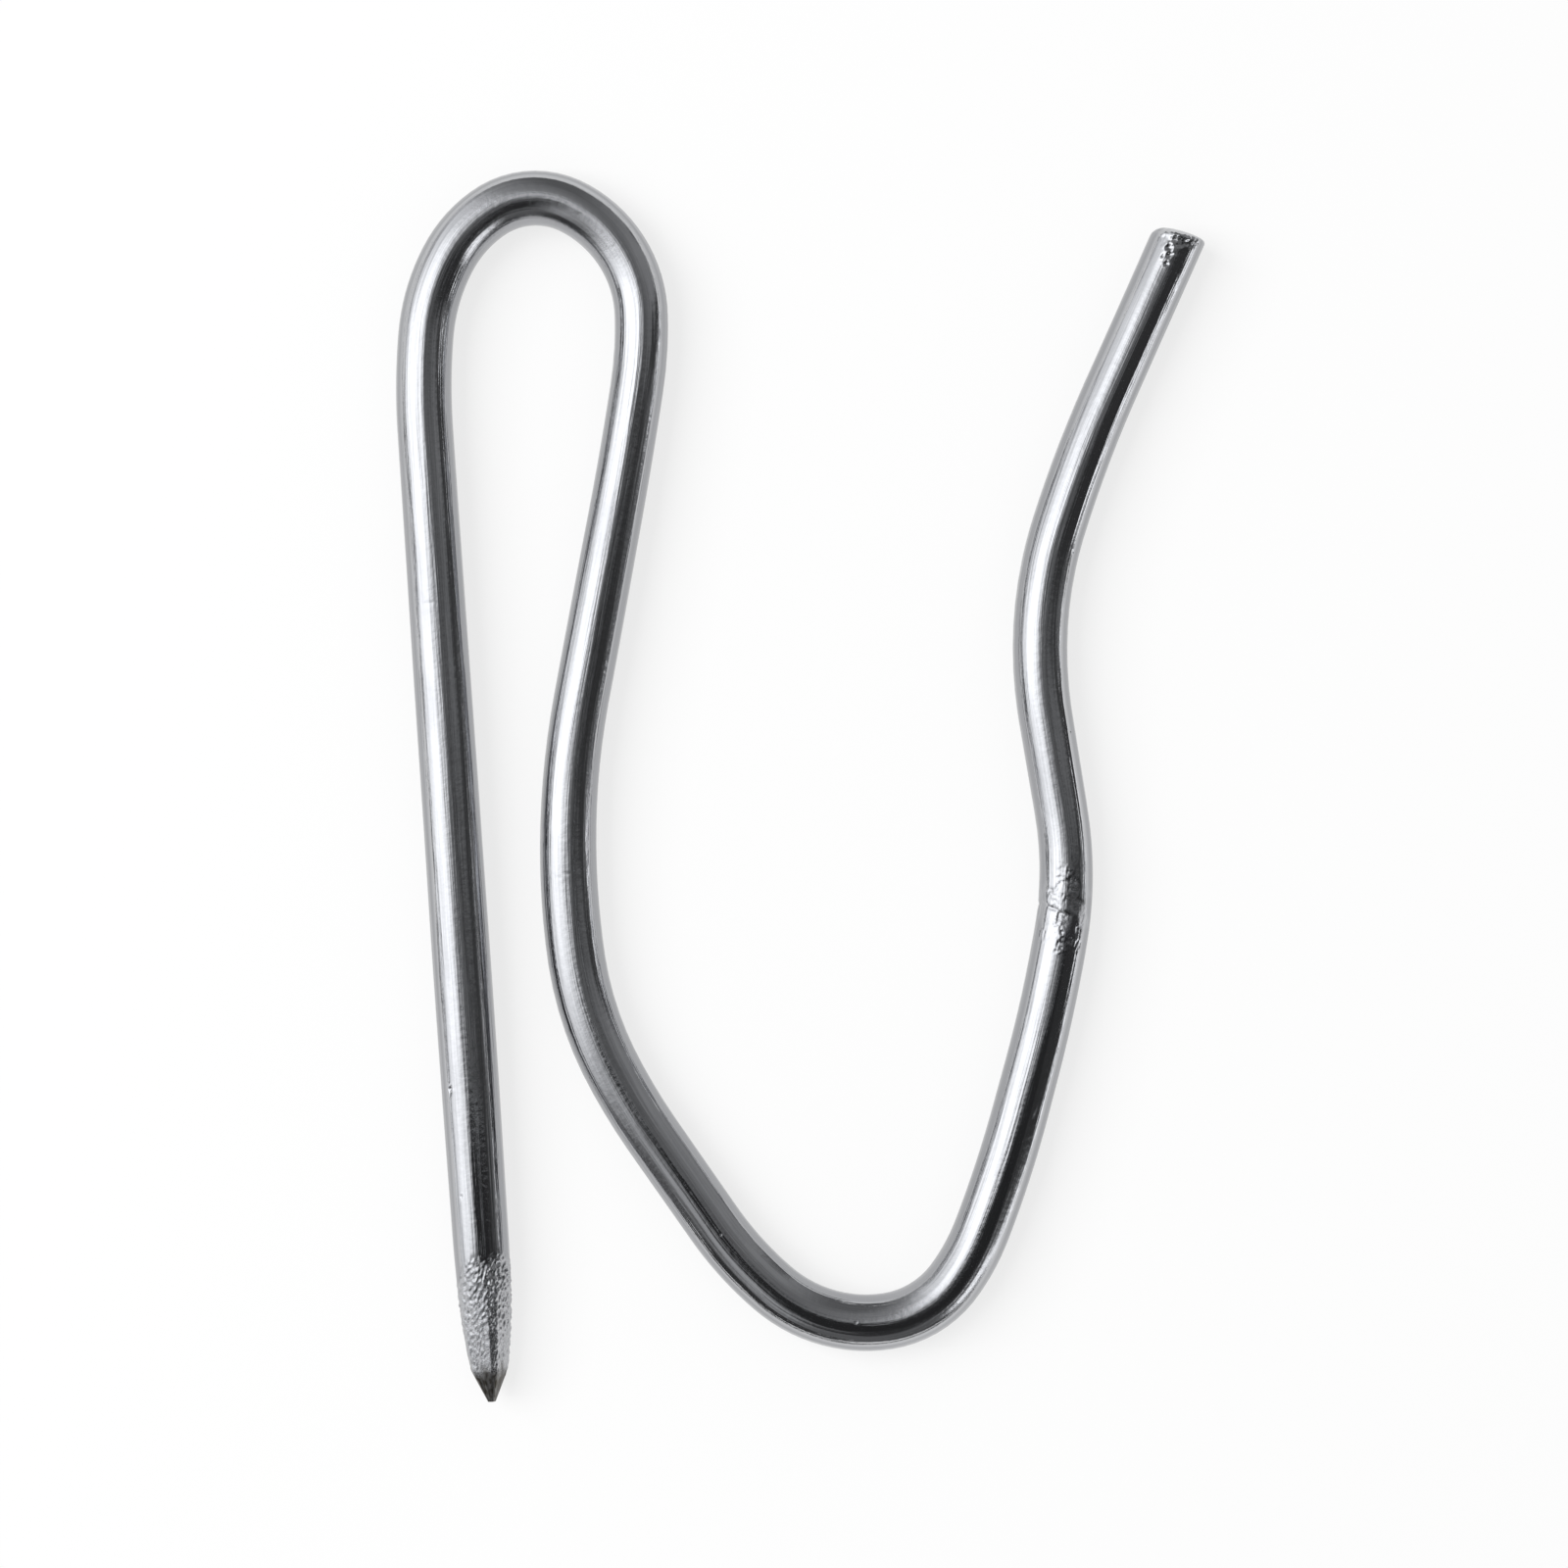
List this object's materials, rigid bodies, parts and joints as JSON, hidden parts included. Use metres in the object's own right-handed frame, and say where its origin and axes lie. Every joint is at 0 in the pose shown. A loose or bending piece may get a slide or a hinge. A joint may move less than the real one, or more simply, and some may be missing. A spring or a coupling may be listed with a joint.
{
  "type": "curtain pin hook",
  "caption": "One-piece bent wire pin-on hook for curtains: a pointed pin, a narrow loop and a wide bend that hangs on a rail or in a glider's eye.",
  "frame": {"origin": "on the surface the hook lies on, under the middle of its bounding box", "axes": "the hook lies on its side; +Y along the straight pin from its point towards the narrow loop, +X from the pin towards the free end, +Z up, square to the plane of the bends; in use the hook is turned so that -Y is up"},
  "size_m": [0.0234, 0.035, 0.0016],
  "materials": {
    "plated_wire": "polished"
  },
  "bodies": {
    "root": {"hook_wire": "plated_wire"}
  },
  "joints": []
}
